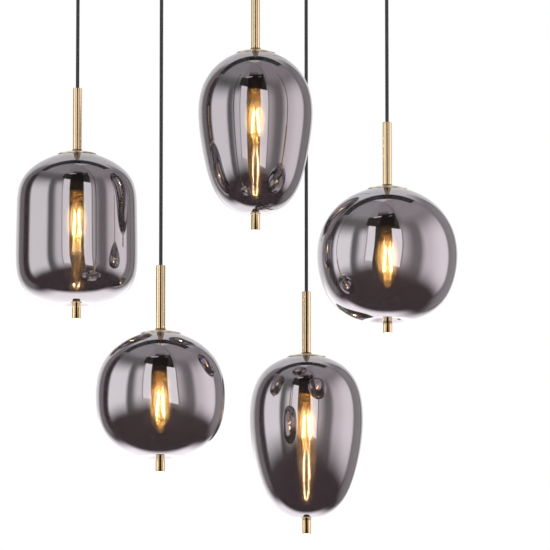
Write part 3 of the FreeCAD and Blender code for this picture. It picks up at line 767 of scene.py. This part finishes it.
def shell_mesh(name):
    """Bulb base: contact tip, screw shell with a real screw thread, flared top, and the collar."""
    tip = lathe(name + "_tip", fillet([(0, -33.6), (2.4, -33.6, 0.5), (2.8, -34.6, 0.2), (5.2, -36.2, 0.4), (6.55, -37.6, 0.3), (6.55, -38.4), (0, -38.4)], 0.3), 48, closed=False)
    segs, rows = 72, 120
    z0, z1, pitch = -37.9, -55.6, 2.82
    verts, faces = [], []
    for i in range(rows + 1):
        z = z0 + (z1 - z0) * i / rows
        fade = min(1.0, i / 10.0, (rows - i) / 10.0)
        for j in range(segs):
            a = 2 * math.pi * j / segs
            ph = (z / pitch - j / segs) * 2 * math.pi
            r = 6.55 + 0.38 * fade * (0.5 + 0.5 * math.cos(ph))
            verts.append((r * math.cos(a) * MM, r * math.sin(a) * MM, z * MM))
    for i in range(rows):
        for j in range(segs):
            a, b = i * segs + j, i * segs + (j + 1) % segs
            faces.append((a, b, b + segs, a + segs))
    faces.append(tuple(range(segs))[::-1])
    faces.append(tuple(rows * segs + j for j in range(segs)))
    th = bpy.data.meshes.new(name + "_thread")
    th.from_pydata(verts, [], faces)
    mark_sharp(th, 60.0)
    rim = lathe(name + "_rim", fillet([(0, -55.2), (6.6, -55.2), (6.9, -56.0, 0.2), (7.35, -56.4, 0.1), (7.35, -56.9), (0, -56.9)], 0.1), 48, closed=False)
    col = lathe(name + "_collar", fillet([
        (0, -56.45), (9.2, -56.45, 0.5), (9.8, -57.2, 0.3), (9.8, -70.0, 0.25), (9.15, -70.0, 0.1), (9.15, -67.05), (0, -67.05)], 0.2), 64, closed=False,
        shape=lambda r, z, a: r - (0.22 * (0.5 - 0.5 * math.cos(a * 36)) ** 2 if r > 9.7 and -68.6 < z < -58.4 else 0.0))
    return merge(name, [tip, th, rim, col], [0, 0, 0, 1])


def bulb_outline():
    def curve(points, per=6):
        """Catmull-Rom through the points."""
        res = []
        P = [points[0]] + points + [points[-1]]
        for i in range(1, len(P) - 2):
            for k in range(per):
                t = k / per
                q = []
                for c in (0, 1):
                    a, b, d, e = P[i - 1][c], P[i][c], P[i + 1][c], P[i + 2][c]
                    q.append(0.5 * (2 * b + (d - a) * t + (2 * a - 5 * b + 4 * d - e) * t * t + (3 * b - a - 3 * d + e) * t**3))
                res.append(tuple(q))
        res.append(points[-1])
        return res
    out = curve([(8.9, -70.3), (12.0, -75.4), (15.6, -84.5), (17.2, -92.5), (17.5, -100.0), (16.7, -110.0), (14.4, -120.5), (11.0, -130.0), (7.2, -137.5), (3.6, -142.3), (1.6, -143.7)])
    inn = curve([(8.1, -70.7), (11.2, -75.9), (14.7, -84.9), (16.3, -92.7), (16.6, -100.0), (15.8, -109.8), (13.5, -120.0), (10.2, -129.3), (6.5, -136.6), (3.2, -141.2), (1.4, -142.5)])
    return [(8.9, -67.2)] + out + [(0.7, -143.95), (0.0, -144.0)], [(8.1, -67.2)] + inn + [(0.6, -142.9), (0.0, -143.0)]


def bulb_mesh(name):
    out, inn = bulb_outline()
    return lathe(name, out + list(reversed(inn)), 72, closed=True, sharp=50.0)


def filament_mesh(name):
    """Glass stem with its pinch, four rods of light, and the fine wires that carry them."""
    stem = lathe(name + "_stem", fillet([(0, -67.3), (3.4, -67.3, 0.3), (2.9, -70.0, 1.0), (2.1, -73.0, 1.0), (1.9, -83.0, 1.0), (1.5, -85.6, 0.8), (0, -85.7)], 0.4), 32, closed=False)
    rods, wires = [], []
    for i in range(4):
        a = math.radians(45 + 90 * i)
        c, s = math.cos(a), math.sin(a)
        top, low = Vector((3.3 * c, 3.3 * s, -86.6)), Vector((7.4 * c, 7.4 * s, -121.0))
        d = (low - top).normalized()
        rods.append([(top + d * 1.4, 0.55), (top + d * 1.6, 0.9), (low - d * 1.6, 0.9), (low - d * 1.4, 0.55)])
        wires.append([(Vector((0.9 * c, 0.9 * s, -85.9)), 0.28), (Vector((2.2 * c, 2.2 * s, -85.6)), 0.28), (Vector((3.2 * c, 3.2 * s, -86.2)), 0.28), (top + d * 1.8, 0.28)])
        wires.append([(low - d * 2.0, 0.28), (low - d * 0.2, 0.28), (Vector((7.45 * c, 7.45 * s, -121.75)), 0.3)])
    ring = []
    for j in range(33):
        a = 2 * math.pi * j / 32
        ring.append((Vector((7.45 * math.cos(a), 7.45 * math.sin(a), -121.75)), 0.33))
    # two support wires that leave the stem and loop down to the ring
    for side in (-1, 1):
        loop = []
        for k in range(13):
            t = k / 12
            loop.append((Vector((side * (1.6 + 5.8 * math.sin(t * math.pi / 2)), 0.6 * side, -84.5 - 37.0 * t ** 1.15)), 0.2))
        wires.append(loop)
    w = tube_mesh(name + "_wires", wires + [ring], 8)
    r = tube_mesh(name + "_rods", rods, 16)
    return merge(name, [stem, r, w], [0, 1, 2])


def finial_outline():
    z0 = 0.0
    z1 = z0 - 24.0
    stud = z0 + WALL + 1.0 + 3.2 + 1.2
    return fillet([(0, stud), (2.0, stud, 0.3), (2.0, z0, 0), (6.5, z0, 0.7), (6.5, z1, 0.7), (0, z1)], 0.5)


def grommet_outline():
    return fillet([(2.75, -0.3), (4.0, -0.3), (4.3, -0.6), (4.5, -2.5), (4.8, -4.3), (4.5, -4.7), (3.6, -4.7)], 0.25)


for name, x, y, pole, h, R, series, dimple, dimple_r in LAMPS:
    s = Shade(h, R, series, dimple, dimple_r)
    here = (x * MM, y * MM, pole * MM)
    body = name + "_lamp"
    piece(name + "_smoked_shade", shade_mesh(name + "_smoked_shade", s), [glass[name], glass_in], here, body, [name + "_glass_shade"])
    piece(name + "_brass_tube", lathe(name + "_brass_tube", tube_outline(), 64), [brass_tube], here, body, [name + "_stem_tube"])
    piece(name + "_brass_cap", lathe(name + "_brass_cap", cap_outline(s), 96, sharp=35.0), [brass_cap], here, body, [name + "_shade_cap"])
    piece(name + "_socket", lathe(name + "_socket", holder_outline(), 240, shape=holder_ribs, sharp=35.0), [holder_mat], here, body, [name + "_lampholder"])
    piece(name + "_screw_base", shell_mesh(name + "_screw_base"), [nickel, collar_mat], here, body, [name + "_bulb_base"])
    piece(name + "_candle_bulb", bulb_mesh(name + "_candle_bulb"), [bulb_mat], here, body, [name + "_bulb_glass"])
    piece(name + "_lit_rods", filament_mesh(name + "_lit_rods"), [stem_mat, filament, wire_mat], here, body, [name + "_bulb_filament"])
    piece(name + "_brass_pin", lathe(name + "_brass_pin", finial_outline(), 64, closed=True), [brass_pin[0.0080 if dimple > 4 else 0.0022]], (x * MM, y * MM, (pole - h + dimple) * MM), body, [name + "_finial"])
    piece(name + "_cord_ring", lathe(name + "_cord_ring", grommet_outline(), 48), [rubber], (x * MM, y * MM, -47.8 * MM), name + "_grommet", [name + "_cord_grommet"])
    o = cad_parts[name + "_shade_fixings"]
    o.data.materials.clear()
    o.data.materials.append(steel)
